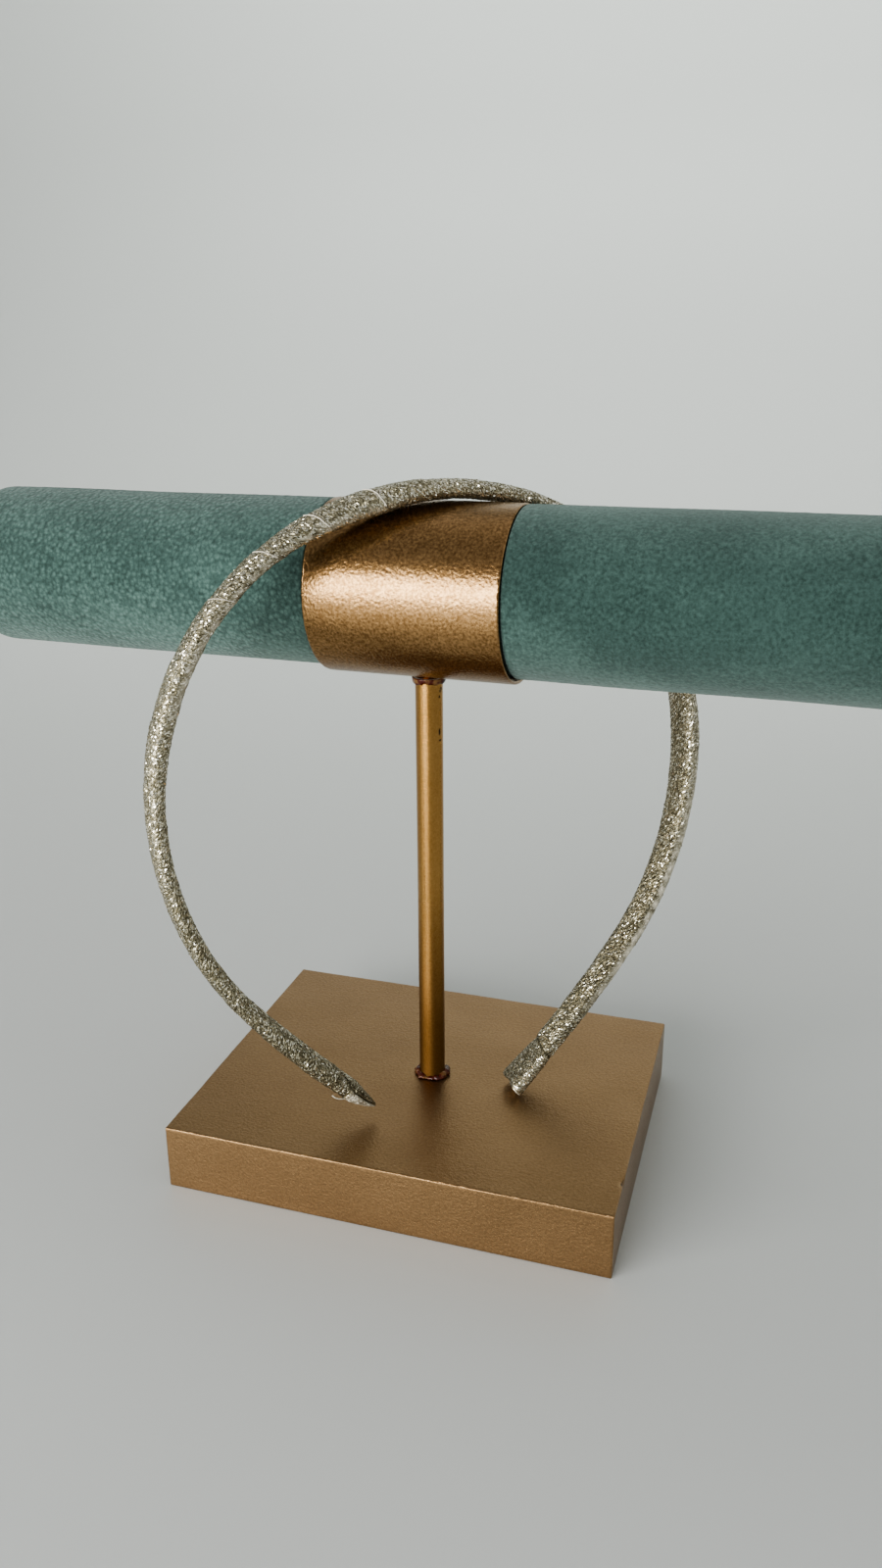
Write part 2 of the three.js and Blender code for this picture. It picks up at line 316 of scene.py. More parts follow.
def wear_group():
    """Worn places: the share of wear, from the values that a piece keeps, broken up by speckle."""
    group = bpy.data.node_groups.new("worn_places", "ShaderNodeTree")
    group.interface.new_socket("Kept", in_out="INPUT", socket_type="NodeSocketFloat")
    group.interface.new_socket("Speckle Scale", in_out="INPUT", socket_type="NodeSocketFloat")
    group.interface.new_socket("Mask", in_out="OUTPUT", socket_type="NodeSocketFloat")
    nodes, link = group.nodes, group.links.new
    given = nodes.new("NodeGroupInput")
    place = nodes.new("ShaderNodeTexCoord")
    speckle = add_node(nodes, "ShaderNodeTexNoise", Detail=4.0, Roughness=0.7)
    link(place.outputs["Object"], speckle.inputs["Vector"])
    link(given.outputs["Speckle Scale"], speckle.inputs["Scale"])
    both = work_out(nodes, link, "MULTIPLY", given.outputs["Kept"], speckle.outputs["Fac"])
    worn = map_value(nodes, link, both, 0.30, 0.50)
    out = nodes.new("NodeGroupOutput")
    link(worn, out.inputs["Mask"])
    return group


FINE_GRAIN = grain_group()
WORN_PLACES = wear_group()


def grain_in(nodes, grain, patch, patch_share, low, high):
    """Places the fine grain in a finish, with its scales and its two tones."""
    return add_node(nodes, "ShaderNodeGroup", node_tree=FINE_GRAIN, **{
        "Grain Scale": grain, "Patch Scale": patch, "Patch Share": patch_share,
        "Low Tone": (*low, 1), "High Tone": (*high, 1),
    })


def wear_over(finish, colour, kept, speckle, tone):
    """Lays a worn tone over a colour where a kept value and its speckle say."""
    nodes, link = finish.node_tree.nodes, finish.node_tree.links.new
    value = add_node(nodes, "ShaderNodeAttribute", attribute_name=kept)
    wear = add_node(nodes, "ShaderNodeGroup", node_tree=WORN_PLACES, **{"Speckle Scale": speckle})
    link(value.outputs["Fac"], wear.inputs["Kept"])
    over = add_node(nodes, "ShaderNodeMix", data_type="RGBA")
    over.inputs["B"].default_value = (*tone, 1)
    link(wear.outputs["Mask"], over.inputs["Factor"])
    link(colour, over.inputs["A"])
    return over.outputs["Result"], wear.outputs["Mask"]


def raise_grain(finish, shader, height, strength, depth):
    """Feeds a height to the shader's normal through a bump of the given depth in metres."""
    relief = add_node(finish.node_tree.nodes, "ShaderNodeBump", Strength=strength, Distance=depth)
    finish.node_tree.links.new(height, relief.inputs["Height"])
    finish.node_tree.links.new(relief.outputs["Normal"], shader.inputs["Normal"])


block_points, block_faces, block_out = rounded_block(BASE_SIZE, BASE_EDGE, BASE_STEP)
block_edge = np.clip((1 - np.abs(block_out).max(axis=1)) / (1 - math.sqrt(0.5)), 0, 1)
paint = PAINT_SWELL * lumps(block_points, 9, 3) + PAINT_GRAIN * lumps(block_points, 0.9, 6, 40)
paint -= (EDGE_CHIPS * np.clip(lumps(block_points, 1.1, 4, 40) - 0.1, 0, 1) + EDGE_SINK) * block_edge
paint *= block_points[:, 2] > -BASE_SIZE[2] / 2 + BASE_EDGE
block_points = block_points + block_out * np.minimum(paint, PAINT_MOST)[:, None] + (0, 0, BASE_SIZE[2] / 2)
nick_away = np.linalg.norm((block_points - BASE_NICK) * (1, 0.6, 1), axis=1)
nick = np.exp(-((nick_away / NICK_REACH) ** 2))
block_points = block_points - block_out * (NICK_DEPTH * nick)[:, None]
base_block = make_piece("painted_block", block_points, block_faces)
# The bright edge tone is partly rubbed paint and partly a painted highlight along the edges.
rubbing_and_highlight = np.clip(0.72 + 0.3 * lumps(block_points, 3.5, 7), 0.35, 1)
mark(base_block, "rubbed_and_highlight", rubbing_and_highlight * block_edge * (1 - nick))
mark(base_block, "chipped", np.clip(nick * 1.6, 0, 1))
block_finish, block_shader, block_nodes = new_finish("gold_block_paint", 0.36, 1.0)
block_shader.inputs["Coat Weight"].default_value = 0.2
block_shader.inputs["Coat Roughness"].default_value = 0.40
block_grain = grain_in(block_nodes, 1500, 60, 0.3, *BLOCK_TONES)
# Edges: a bright tone that is part wear and part painted highlight.
block_tone, _ = wear_over(block_finish, block_grain.outputs["Color"], "rubbed_and_highlight", 700, BLOCK_RUBBED_HIGHLIGHT)
block_tone, _ = wear_over(block_finish, block_tone, "chipped", 700, BLOCK_CHIPPED)
block_finish.node_tree.links.new(block_tone, block_shader.inputs["Base Color"])
raise_grain(block_finish, block_shader, block_grain.outputs["Height"], 0.32, 0.0003)
fit_piece(base_block, block_finish, "gold_paint", "base_block")

# Post: a thin steel rod with a gold finish, with fine rings left by its polishing.
# It stands in a hole in the block, and the sleeve sits on its top. Its lower half is rougher, and painted
# shade darkens it towards the foot.
POST_RADIUS = 3.1
POST_FOOT = 16.3
POST_HEAD = 117.9
# Where the rod starts to grow rougher and darker with painted shade towards the foot, and over what run.
POST_DULL_SHADE_TOP = 66
POST_DULL_SHADE_RUN = 36
POST_ROWS = 560
ROUND_POST = 64
RING_DEPTH = 0.0045
ROD_GRAIN = 0.005
# Dark flecks near the head: angle round the rod, height, half width, half height.
POST_FLECKS = (
    (-16, 115.2, 0.7, 0.8), (-24, 113.7, 0.35, 0.5), (-25, 105.6, 0.4, 1.2), (-20, 103.6, 0.6, 0.35),
)
ROD_TONES = ((0.36, 0.195, 0.062), (0.45, 0.262, 0.095))
ROD_FLECK = (0.03, 0.022, 0.014)
ROD_FOOT_SHADE = (0.43, 0.39, 0.34, 1)
# Roughness at the head and at the dull foot.
ROD_ROUGH = (0.25, 0.65)


def turned(radii, along, count):
    """Points of a turned piece with its axis along Z: a ring for each radius."""
    angle = np.linspace(0, math.tau, count, endpoint=False)
    ring = np.stack([np.cos(angle), np.sin(angle)], -1)
    grid = np.zeros((len(radii), count, 3))
    grid[..., :2] = np.asarray(radii)[:, None, None] * ring
    grid[..., 2] = np.asarray(along)[:, None]
    return grid


def closed_rod(grid):
    """Points and faces of a stack of rings with a flat face at each end."""
    rows, columns = grid.shape[:2]
    faces = [tuple(f) for f in grid_faces(rows, columns, wrap_columns=True)]
    faces.append(tuple(range(columns))[::-1])
    faces.append(tuple(range((rows - 1) * columns, rows * columns)))
    return grid.reshape(-1, 3), faces


def fade(values, start, run):
    """Shares that grow from 0 at the start to 1 at the end of a run."""
    return np.clip((values - start) / run, 0, 1)


post_rows = np.linspace(POST_FOOT, POST_HEAD, POST_ROWS)
post_rings = RING_DEPTH * np.random.default_rng(14).normal(size=POST_ROWS)
post_points, post_faces = closed_rod(turned(np.full(POST_ROWS, POST_RADIUS), post_rows, ROUND_POST))
post_wobble = np.repeat(post_rings, ROUND_POST) + ROD_GRAIN * lumps(post_points, 0.8, 13, 40)
post_points = post_points + post_points * (1, 1, 0) / POST_RADIUS * post_wobble[:, None]
post = make_piece("gold_rod", post_points, post_faces)
fleck = np.zeros(len(post_points))
for turn_deg, level, wide, tall in POST_FLECKS:
    at = np.array([math.cos(math.radians(turn_deg)), math.sin(math.radians(turn_deg))]) * POST_RADIUS
    across = np.linalg.norm(post_points[:, :2] - at, axis=1) / wide
    fleck = np.maximum(fleck, np.exp(-((across**2 + ((post_points[:, 2] - level) / tall) ** 2) ** 2)))
mark(post, "flecked", np.clip(fleck * 1.3, 0, 1))
# Towards the foot the rod is rougher and darkened by painted shade.
mark(post, "dulled_and_shaded", fade(-post_points[:, 2], -POST_DULL_SHADE_TOP, POST_DULL_SHADE_RUN))
rod_finish, rod_shader, rod_nodes = new_finish("gold_rod_finish", ROD_ROUGH[0], 1.0)
rod_shader.inputs["Anisotropic"].default_value = 0.6
rod_shader.inputs["Anisotropic Rotation"].default_value = 0.25
rod_grain = grain_in(rod_nodes, 2200, 120, 0.3, *ROD_TONES)
rod_tone, _ = wear_over(rod_finish, rod_grain.outputs["Color"], "flecked", 900, ROD_FLECK)
rod_foot = add_node(rod_nodes, "ShaderNodeAttribute", attribute_name="dulled_and_shaded")
# Painted shade: the rod's tone is darkened towards the foot, near the block.
rod_foot_shade = add_node(rod_nodes, "ShaderNodeMix", data_type="RGBA", blend_type="MULTIPLY")
rod_foot_shade.inputs["B"].default_value = ROD_FOOT_SHADE
rod_link = rod_finish.node_tree.links.new
rod_link(rod_foot.outputs["Fac"], rod_foot_shade.inputs["Factor"])
rod_link(rod_tone, rod_foot_shade.inputs["A"])
rod_link(rod_foot_shade.outputs["Result"], rod_shader.inputs["Base Color"])
rod_rough = map_value(rod_nodes, rod_link, rod_foot.outputs["Fac"], 0, 1, *ROD_ROUGH)
rod_link(rod_rough, rod_shader.inputs["Roughness"])
raise_grain(rod_finish, rod_shader, rod_grain.outputs["Height"], 0.25, 0.0002)
fit_piece(post, rod_finish, "gold_rod", "post")

# Glue beads: dark hard glue that squeezed out round the rod at its foot and at its head.
# They are ragged and glossy; the upper one was painted over with the sleeve, but for a red-brown patch.
FOOT_BEAD = {"reach": 4.6, "height": 1.3, "level": 16.3, "up": 1, "ragged": 0.9}
HEAD_BEAD = {"reach": 3.9, "height": 1.6, "level": 117.9, "up": -1, "ragged": 0.35}
BEAD_COLUMNS = 96
BEAD_STEPS = 11
BEAD_THIN_DEG = 144
BARE_TURN_DEG = 50
GLUE_PAINT = ((0.24, 0.125, 0.045), (0.36, 0.21, 0.09))
GLUE_BARE = (0.055, 0.009, 0.005)
GLUE_PAINT_METAL = 0.95


def glue_bead(name, bead, seed, bared):
    """A ragged ring round the rod, flat where it sits; it keeps the share that is bare of paint."""
    angle = np.linspace(0, math.tau, BEAD_COLUMNS, endpoint=False)
    around = np.stack([np.cos(angle), np.sin(angle), 0 * angle], -1)
    inner = POST_RADIUS + 0.05
    ragged = bead["ragged"]
    thin = 0.22 * np.cos(2 * angle + math.radians(BEAD_THIN_DEG))
    swell = 1 - ragged * (
        0.3 + thin - 0.3 * lumps(around * 4, 1.2, seed) - 0.16 * lumps(around * 4, 0.5, seed + 2)
    )
    rise = 1 - ragged * (0.3 + thin - 0.35 * lumps(around * 4, 0.8, seed + 1))
    rings = [around * inner]
    for i in range(BEAD_STEPS):
        climb = (math.pi / 2) * i / (BEAD_STEPS - 1)
        ring = around * (inner + (bead["reach"] - inner) * np.clip(swell, 0.3, 1) * math.cos(climb))[:, None]
        ring[:, 2] = np.clip(bead["height"] * rise * math.sin(climb), 0, bead["height"])
        rings.append(ring)
    grid = np.array(rings)
    grid[..., 2] = bead["level"] + bead["up"] * grid[..., 2]
    faces = grid_faces(len(grid), BEAD_COLUMNS, wrap_rows=True, wrap_columns=True)
    piece = make_piece(name, grid.reshape(-1, 3), faces)
    mark(piece, "bared", np.tile(bared(angle), len(grid)))
    return piece


glue_finish, glue_shader, glue_nodes = new_finish("dark_glue", 0.24)
glue_shader.inputs["Specular IOR Level"].default_value = 0.3
glue_link = glue_finish.node_tree.links.new
glue_grain = grain_in(glue_nodes, 900, 300, 0.45, *GLUE_PAINT)
glue_tone, glue_bared = wear_over(glue_finish, glue_grain.outputs["Color"], "bared", 500, GLUE_BARE)
glue_link(glue_tone, glue_shader.inputs["Base Color"])
glue_metal = map_value(glue_nodes, glue_link, glue_bared, 0, 1, GLUE_PAINT_METAL, 0.0)
glue_link(glue_metal, glue_shader.inputs["Metallic"])
raise_grain(glue_finish, glue_shader, glue_grain.outputs["Height"], 0.3, 0.0004)
foot_bead = glue_bead("foot_glue", FOOT_BEAD, 11, lambda angle: np.full(len(angle), 1.0))
fit_piece(foot_bead, glue_finish, "dark_glue", "foot_bead")
head_bead = glue_bead(
    "head_glue", HEAD_BEAD, 21,
    lambda angle: np.clip(0.9 + 1.6 * np.cos(angle + math.radians(BARE_TURN_DEG)), 0, 1),
)
fit_piece(head_bead, glue_finish, "dark_glue", "head_bead")

# Bar sleeve: a short thin metal tube, sprayed with grainy bronze paint, fixed on top of the rod.
# The covered bar runs through it, and the headband rests on its top.
SLEEVE_LENGTH = 42.6
SLEEVE_RADIUS = 18.9
SLEEVE_WALL = 1
SLEEVE_HEIGHT = 137.1
BAR_TURN_DEG = -1.73
ROUND_SLEEVE = 480
SLEEVE_ROWS = 174
SLEEVE_INNER_ROWS = 6
SLEEVE_EDGE = 0.3
SLEEVE_BEVEL = 0.08
# Heights of the paint's speckle and ripple, and of the ragged rim.
SLEEVE_SPECKLE = 0.008
SLEEVE_RIPPLE = 0.019
SLEEVE_RAGGED = 0.09
RAGGED_WIDTH = 0.5
RUBBED_WIDTH = 0.2
RUBBED_SHARE = 0.36
SLEEVE_TONES = ((0.18, 0.100, 0.039), (0.37, 0.226, 0.103))
SLEEVE_RUBBED = (0.75, 0.6, 0.42)


def lay_on_bar(points, height):
    """Turns a piece from its own upright axis to the bar's axis, at its height."""
    turn = Matrix.Rotation(math.radians(BAR_TURN_DEG), 3, "Z") @ Matrix.Rotation(math.pi / 2, 3, "Y")
    return points @ np.array(turn).T + (0, 0, height)


sleeve_half = SLEEVE_LENGTH / 2
sleeve_outer = np.linspace(-sleeve_half + SLEEVE_EDGE, sleeve_half - SLEEVE_EDGE, SLEEVE_ROWS)
sleeve_inner = np.linspace(sleeve_half - 0.1, -sleeve_half + 0.1, SLEEVE_INNER_ROWS)
rim_radii = (SLEEVE_RADIUS - SLEEVE_BEVEL, SLEEVE_RADIUS - SLEEVE_EDGE)
sleeve_profile = [(SLEEVE_RADIUS, x) for x in sleeve_outer]
sleeve_profile += [(rim_radii[0], sleeve_half - SLEEVE_BEVEL), (rim_radii[1], sleeve_half)]
sleeve_profile += [(SLEEVE_RADIUS - SLEEVE_WALL, x) for x in sleeve_inner]
sleeve_profile += [(rim_radii[1], -sleeve_half), (rim_radii[0], -sleeve_half + SLEEVE_BEVEL)]
sleeve_radii, sleeve_rows = np.array(sleeve_profile).T
sleeve_points = turned(sleeve_radii, sleeve_rows, ROUND_SLEEVE).reshape(-1, 3)
sleeve_skin = np.repeat(sleeve_radii >= SLEEVE_RADIUS, ROUND_SLEEVE)
sleeve_draw = np.random.default_rng(31)
sleeve_grain = SLEEVE_SPECKLE * sleeve_draw.normal(size=len(sleeve_points)) * sleeve_skin
sleeve_grain = sleeve_grain + SLEEVE_RIPPLE * lumps(sleeve_points, 0.36, 32, 120) * sleeve_skin
sleeve_rim = np.repeat(np.abs(sleeve_rows) > sleeve_half - RAGGED_WIDTH, ROUND_SLEEVE)
sleeve_grain = sleeve_grain - sleeve_rim * SLEEVE_RAGGED * np.clip(lumps(sleeve_points, 0.8, 33, 40), 0, 1)
sleeve_points = sleeve_points + sleeve_points * (1, 1, 0) / SLEEVE_RADIUS * sleeve_grain[:, None]
sleeve_faces = grid_faces(len(sleeve_rows), ROUND_SLEEVE, wrap_rows=True, wrap_columns=True)
sleeve = make_piece("bronze_sleeve", lay_on_bar(sleeve_points, SLEEVE_HEIGHT), sleeve_faces)
sleeve_rub = np.where(np.abs(sleeve_rows) > sleeve_half - RUBBED_WIDTH, RUBBED_SHARE, 0.0)
mark(sleeve, "rubbed_and_highlight", np.repeat(sleeve_rub, ROUND_SLEEVE))
sleeve_finish, sleeve_shader, sleeve_nodes = new_finish("bronze_sleeve_paint", 0.25, 0.97)
sleeve_paint = grain_in(sleeve_nodes, 1700, 90, 0.12, *SLEEVE_TONES)
sleeve_tone, _ = wear_over(sleeve_finish, sleeve_paint.outputs["Color"], "rubbed_and_highlight", 900, SLEEVE_RUBBED)
sleeve_finish.node_tree.links.new(sleeve_tone, sleeve_shader.inputs["Base Color"])
raise_grain(sleeve_finish, sleeve_shader, sleeve_paint.outputs["Height"], 0.3, 0.0002)
fit_piece(sleeve, sleeve_finish, "bronze_paint", "bar_sleeve")

# Velvet roll: the padded bar, covered in short-pile sage-green velvet drawn tight round it.
# The nap is crinkled and brushed in patches; the pile is lighter to the left, and painted sheen lightens
# strips along the bar's underside and top.
# The cover tucks into the sleeve at the middle.
ROLL_LENGTH = 220
ROLL_RADIUS = 18.2
ROLL_RIM = 5
ROLL_SHOULDER = 0.5
ROLL_HEIGHT = 137.6
ROLL_WAIST = 17.6
ROUND_ROLL = 224
NAP_STEP = 0.54
DISC_RINGS = 17
NAP_CRINKLE = 0.03
NAP_SWELL = 0.14
# How light the pile is at the middle, how much lighter it grows to the left, and its brushed patches and
# crinkles.
BRUSHED = 0.32
PILE_LIGHTER_LEFT = 0.29
BRUSHED_PATCHES = 0.22
BRUSHED_CRINKLE = 0.08
LEFT_RUN = 60
# Strips of painted sheen below and on top: where each starts, its run, its share and its change to the left.
LOW_SHEEN_STRIP = (0.15, 0.6, 0.25, 0.13)
TOP_SHEEN_STRIP = (0.30, 0.5, 0.16, -0.12)
TOP_UP = 0.98
TOP_BACK = 0.19
# How deep the tufts show at the middle, over what run that fades to the right, and its patches.
PEBBLED = 0.55
PEBBLED_RUN = 90
PEBBLED_PATCHES = 0.4
PILE_TONES = ((0.048, 0.088, 0.074), (0.114, 0.188, 0.162))
PILE_SHADE = (0.38, 0.42, 0.42, 1)
PILE_SHEEN = (0.72, 0.86, 0.80, 1)
TUFT_SCALE = 950.0
TUFT_SHADE = 0.75


def sheen_strip(height, to_left, start, run, share, change):
    """How much painted sheen lightens the pile in a strip along the bar."""
    return fade(height, start, run) * (share + change * to_left)


roll_half = ROLL_LENGTH / 2
roll_mouth = sleeve_half + 0.1
shoulder_turn = np.linspace(0, 0.5 * math.pi, 7)
rim_turn = np.linspace(0.5 * math.pi, 0, 10)
flat_rows = np.arange(roll_mouth + ROLL_SHOULDER + 0.4, roll_half - ROLL_RIM - 0.3, NAP_STEP)
disc_radii = np.linspace(ROLL_RADIUS - ROLL_RIM, 0.4, DISC_RINGS + 1)[1:]
half_rows = np.concatenate([
    [roll_mouth - 3, roll_mouth - 0.05], roll_mouth + ROLL_SHOULDER * (1 - np.cos(shoulder_turn)),
    flat_rows, roll_half - ROLL_RIM + ROLL_RIM * np.cos(rim_turn), np.full(DISC_RINGS, roll_half),
])
half_radii = np.concatenate([
    [ROLL_WAIST, ROLL_WAIST], ROLL_RADIUS - ROLL_SHOULDER + ROLL_SHOULDER * np.sin(shoulder_turn),
    np.full(len(flat_rows), ROLL_RADIUS), ROLL_RADIUS - ROLL_RIM + ROLL_RIM * np.sin(rim_turn), disc_radii,
])
roll_rows = np.concatenate([-half_rows[::-1], half_rows])
roll_radii = np.concatenate([half_radii[::-1], half_radii])
roll_points, roll_faces = closed_rod(turned(roll_radii, roll_rows, ROUND_ROLL))
crinkle = lumps(roll_points, 0.8, 41, 60)
nap = NAP_CRINKLE * crinkle + NAP_SWELL * lumps(roll_points, 16, 42)
nap *= fade(np.abs(roll_points[:, 2]) - roll_mouth, 0.2, 1.5)
roll_away = roll_points * (1, 1, 0)
roll_away /= np.maximum(np.linalg.norm(roll_away, axis=1), 1e-6)[:, None]
roll_points = roll_points + roll_away * nap[:, None]
velvet_roll = make_piece("velvet_bar", lay_on_bar(roll_points, ROLL_HEIGHT), roll_faces)
to_left = np.clip(-roll_points[:, 2] / LEFT_RUN, -1, 1)
to_top = (TOP_BACK * roll_points[:, 1] - TOP_UP * roll_points[:, 0]) / ROLL_RADIUS
# Lighter pile: a level, lighter to the left, painted sheen in strips below and on top, and brushed patches
# and crinkles.
pile_light_and_sheen = BRUSHED + PILE_LIGHTER_LEFT * to_left
pile_light_and_sheen = pile_light_and_sheen + sheen_strip(-to_top, to_left, *LOW_SHEEN_STRIP) + sheen_strip(to_top, to_left, *TOP_SHEEN_STRIP)
pile_light_and_sheen = pile_light_and_sheen + BRUSHED_PATCHES * lumps(roll_points * (1.6, 1, 1), 11, 44)
mark(velvet_roll, "raised", np.clip(pile_light_and_sheen + BRUSHED_CRINKLE * crinkle, 0, 1))
pebbles = PEBBLED - roll_points[:, 2] / PEBBLED_RUN + PEBBLED_PATCHES * lumps(roll_points, 12, 46)
mark(velvet_roll, "pebbled", np.clip(pebbles, 0.1, 1))

velvet_finish, velvet_shader, velvet_nodes = new_finish("sage_velvet", 0.95)
velvet_shader.inputs["Sheen Weight"].default_value = 0.24
velvet_shader.inputs["Sheen Roughness"].default_value = 0.6
velvet_shader.inputs["Sheen Tint"].default_value = PILE_SHEEN
velvet_shader.inputs["Specular IOR Level"].default_value = 0.05
velvet_link = velvet_finish.node_tree.links.new
pile = grain_in(velvet_nodes, 1400, 30, 0.3, *PILE_TONES)
raised = add_node(velvet_nodes, "ShaderNodeAttribute", attribute_name="raised")
tuft_place = velvet_nodes.new("ShaderNodeTexCoord")
tuft = add_node(velvet_nodes, "ShaderNodeTexVoronoi", Scale=TUFT_SCALE, Randomness=0.9)
velvet_link(tuft_place.outputs["Object"], tuft.inputs["Vector"])
tuft_dip = map_value(velvet_nodes, velvet_link, tuft.outputs["Distance"], 0.15, 0.80)
pebbled = add_node(velvet_nodes, "ShaderNodeAttribute", attribute_name="pebbled")
tuft_low = work_out(velvet_nodes, velvet_link, "MULTIPLY", tuft_dip, pebbled.outputs["Fac"])
# The pile is darker where the raised mark is low; that mark carries the painted sheen strips as well as the
# brushed patches.
pile_low = work_out(velvet_nodes, velvet_link, "SUBTRACT", 1.0, raised.outputs["Fac"])
pile_dark = work_out(velvet_nodes, velvet_link, "MULTIPLY_ADD", tuft_low, TUFT_SHADE, pile_low)
pile_tip = add_node(velvet_nodes, "ShaderNodeMix", data_type="RGBA", blend_type="MULTIPLY")
pile_tip.inputs["B"].default_value = PILE_SHADE
velvet_link(pile_dark, pile_tip.inputs["Factor"])
velvet_link(pile.outputs["Color"], pile_tip.inputs["A"])
velvet_link(pile_tip.outputs["Result"], velvet_shader.inputs["Base Color"])
tuft_height = work_out(velvet_nodes, velvet_link, "MULTIPLY_ADD", tuft_low, -1.0, pile.outputs["Height"])
raise_grain(velvet_finish, velvet_shader, tuft_height, 0.5, 0.0003)
fit_piece(velvet_roll, velvet_finish, "velvet", "velvet_roll")

# Wound ribbon: glitter ribbon wound round the headband's strip from its right tip to its left.
# Each turn lies partly over the last, so its edge stands up in a low step across the band.
BAND_ARCS = ((63.2, 92.3), (73.6, 36.7), (246.0, 10.1))
BAND_PLACE = (2.8, -1.9, 158.9)
BAND_TURN_DEG = 40.8
BAND_LEAN_DEG = -4.7
BAND_TILT_DEG = 1.05
# The left leg's end is bent a little out of the band's plane, back and down towards the block.
# The stray is how far its tip lies off the plain curve, in the band's own directions.
LEFT_BEND_AT = -90
LEFT_STRAY = np.array((1.43, 4.12, -2.5))
LEFT_TIP = -189
RIGHT_TIP = 194
WOUND_FROM = -175
WOUND_TO = 181.2
SEAM_SLANT = 0.27
# Columns: distance from the crown, width, thickness, how far the middle line strays outwards.
BAND_SIZES = np.array([
    (LEFT_TIP, 7.6, 4.4, 0), (-172, 7.4, 4.6, 0), (-160, 7.2, 4.35, 0), (-147, 7.0, 3.8, 0),
    (-110, 6.9, 3.6, 0), (-92, 7.0, 3.8, 0), (-86, 7.4, 4.1, 0), (-75, 7.5, 4.1, 0),
    (-60, 7.5, 3.8, 0.1), (-40, 7.5, 3.7, -0.15), (-30, 7.5, 4.4, -0.5), (-22, 7.5, 5.1, -0.85),
    (-14, 7.6, 5.1, -0.9), (-8, 7.6, 4.5, -0.65), (0, 7.6, 4.0, -0.37), (4, 7.6, 3.9, -0.3),
    (12, 7.6, 3.75, -0.02), (22, 7.6, 3.65, 0.37), (34, 7.6, 3.5, 0.75), (60, 8.0, 3.6, 0.6),
    (88, 8.7, 4.2, 0.45), (97, 8.7, 4.4, 0.25), (107, 8.2, 4.4, 0.15), (118, 7.7, 4.4, 0.2),
    (130, 7.3, 4.4, 0.3), (145, 7.2, 4.3, 0.5), (157, 7.3, 4.2, 0.6), (RIGHT_TIP, 7.4, 3.8, 0.5),
])
SECTION_POWER = 2.6
SECTION_THICK = 3.5
SECTION_WIDE = 7.6
TURN_PITCH = 12.6
TURN_AT = -18
TURN_SLOW = 0.11
# Waves in the turns' spacing: size, rate, start.
TURN_WAVES = ((0.35, 2.1, 0.6), (0.3, 0.83, 2.0))
# Columns: number of the turn, height of its edge.
TURN_STEPS = np.array([(-7, 0.1), (-5, 0.2), (0, 0.22), (2, 0.1)])
TURN_EDGE = 0.013
TURN_INNER = (0.03, 0.985)
GLITTER_STEP = 0.29
GLITTER_COLUMNS = 66
# How far a flake's corners stray along the band, round it (in columns) and off it.
FLAKE_STRAY = 0.09
FLAKE_SLIP = 0.28
FLAKE_TILT = 0.06
# Painted light and shade along the band: the flakes are made brighter or darker by place.
# Columns: distance from the crown, power on the flakes' tones (above 1 more are dark).
FLAKE_LIGHT_LEAN = np.array([
    (-190, 1.2), (-125, 0.96), (-100, 0.62), (-65, 0.62), (-40, 0.74), (0, 0.57),
    (60, 0.6), (115, 0.68), (140, 1.0), (170, 1.0), (194, 0.55),
])
# Painted shade darkens the flakes on the right leg's inner face: by how much, from where along it, and how
# deep inside.
INSIDE_SHADE_LEAN = 0.5
INSIDE_FROM = 40
INSIDE_RUN = 30
INSIDE_DEPTH = 0.8
# The plain selvedge at the front edge, whose pale tone is also a painted highlight on that edge: its place
# and width, and its share and reach on each leg.
SELVEDGE_AT = 3.4
SELVEDGE_WIDTH = 0.7
LEFT_SELVEDGE, LEFT_SELVEDGE_FROM, LEFT_SELVEDGE_TO = 0.7, 6, 84
RIGHT_SELVEDGE, RIGHT_SELVEDGE_FROM, RIGHT_SELVEDGE_TO = 1.1, 66, 170
# Columns: the flake's own share, its tone.
FLAKE_TONES = (
    (0, (0.05, 0.042, 0.022)), (0.35, (0.15, 0.132, 0.08)), (0.75, (0.31, 0.28, 0.19)),
    (0.87, (0.66, 0.62, 0.47)), (1, (1, 0.97, 0.86)),
)
CLOTH_TONE = (0.60, 0.56, 0.45, 1)
# How metallic the flakes and the bare cloth are.
FLAKE_METAL = (0.9, 0.1)
# The brightest flakes are the smoothest: their shares, and the roughness of the rest and of these.
BRIGHT_FLAKES = (0.82, 0.92)
FLAKE_ROUGH = (0.40, 0.10)


def band_line(s):
    """Places and outward directions along the band's middle line, by distance from the crown."""
    side = np.where(s < 0, -1.0, 1.0)
    left = np.abs(s)
    x, z, bent = np.zeros((3, len(s)))
    for i, (radius, sweep) in enumerate(BAND_ARCS):
        run = left if i + 1 == len(BAND_ARCS) else np.minimum(left, radius * math.radians(sweep))
        end = bent + run / radius
        x = x + radius * (np.sin(end) - np.sin(bent))
        z = z + radius * (np.cos(end) - np.cos(bent))
        bent = end
        left = left - run
    zero = np.zeros(len(s))
    return np.stack([side * x, zero, z], -1), np.stack([side * np.sin(bent), zero, np.cos(bent)], -1)


band_turn = np.array(
    Matrix.Rotation(math.radians(BAND_TURN_DEG), 3, "Z")
    @ Matrix.Rotation(math.radians(BAND_LEAN_DEG), 3, "X")
    @ Matrix.Rotation(math.radians(BAND_TILT_DEG), 3, "Y")
)


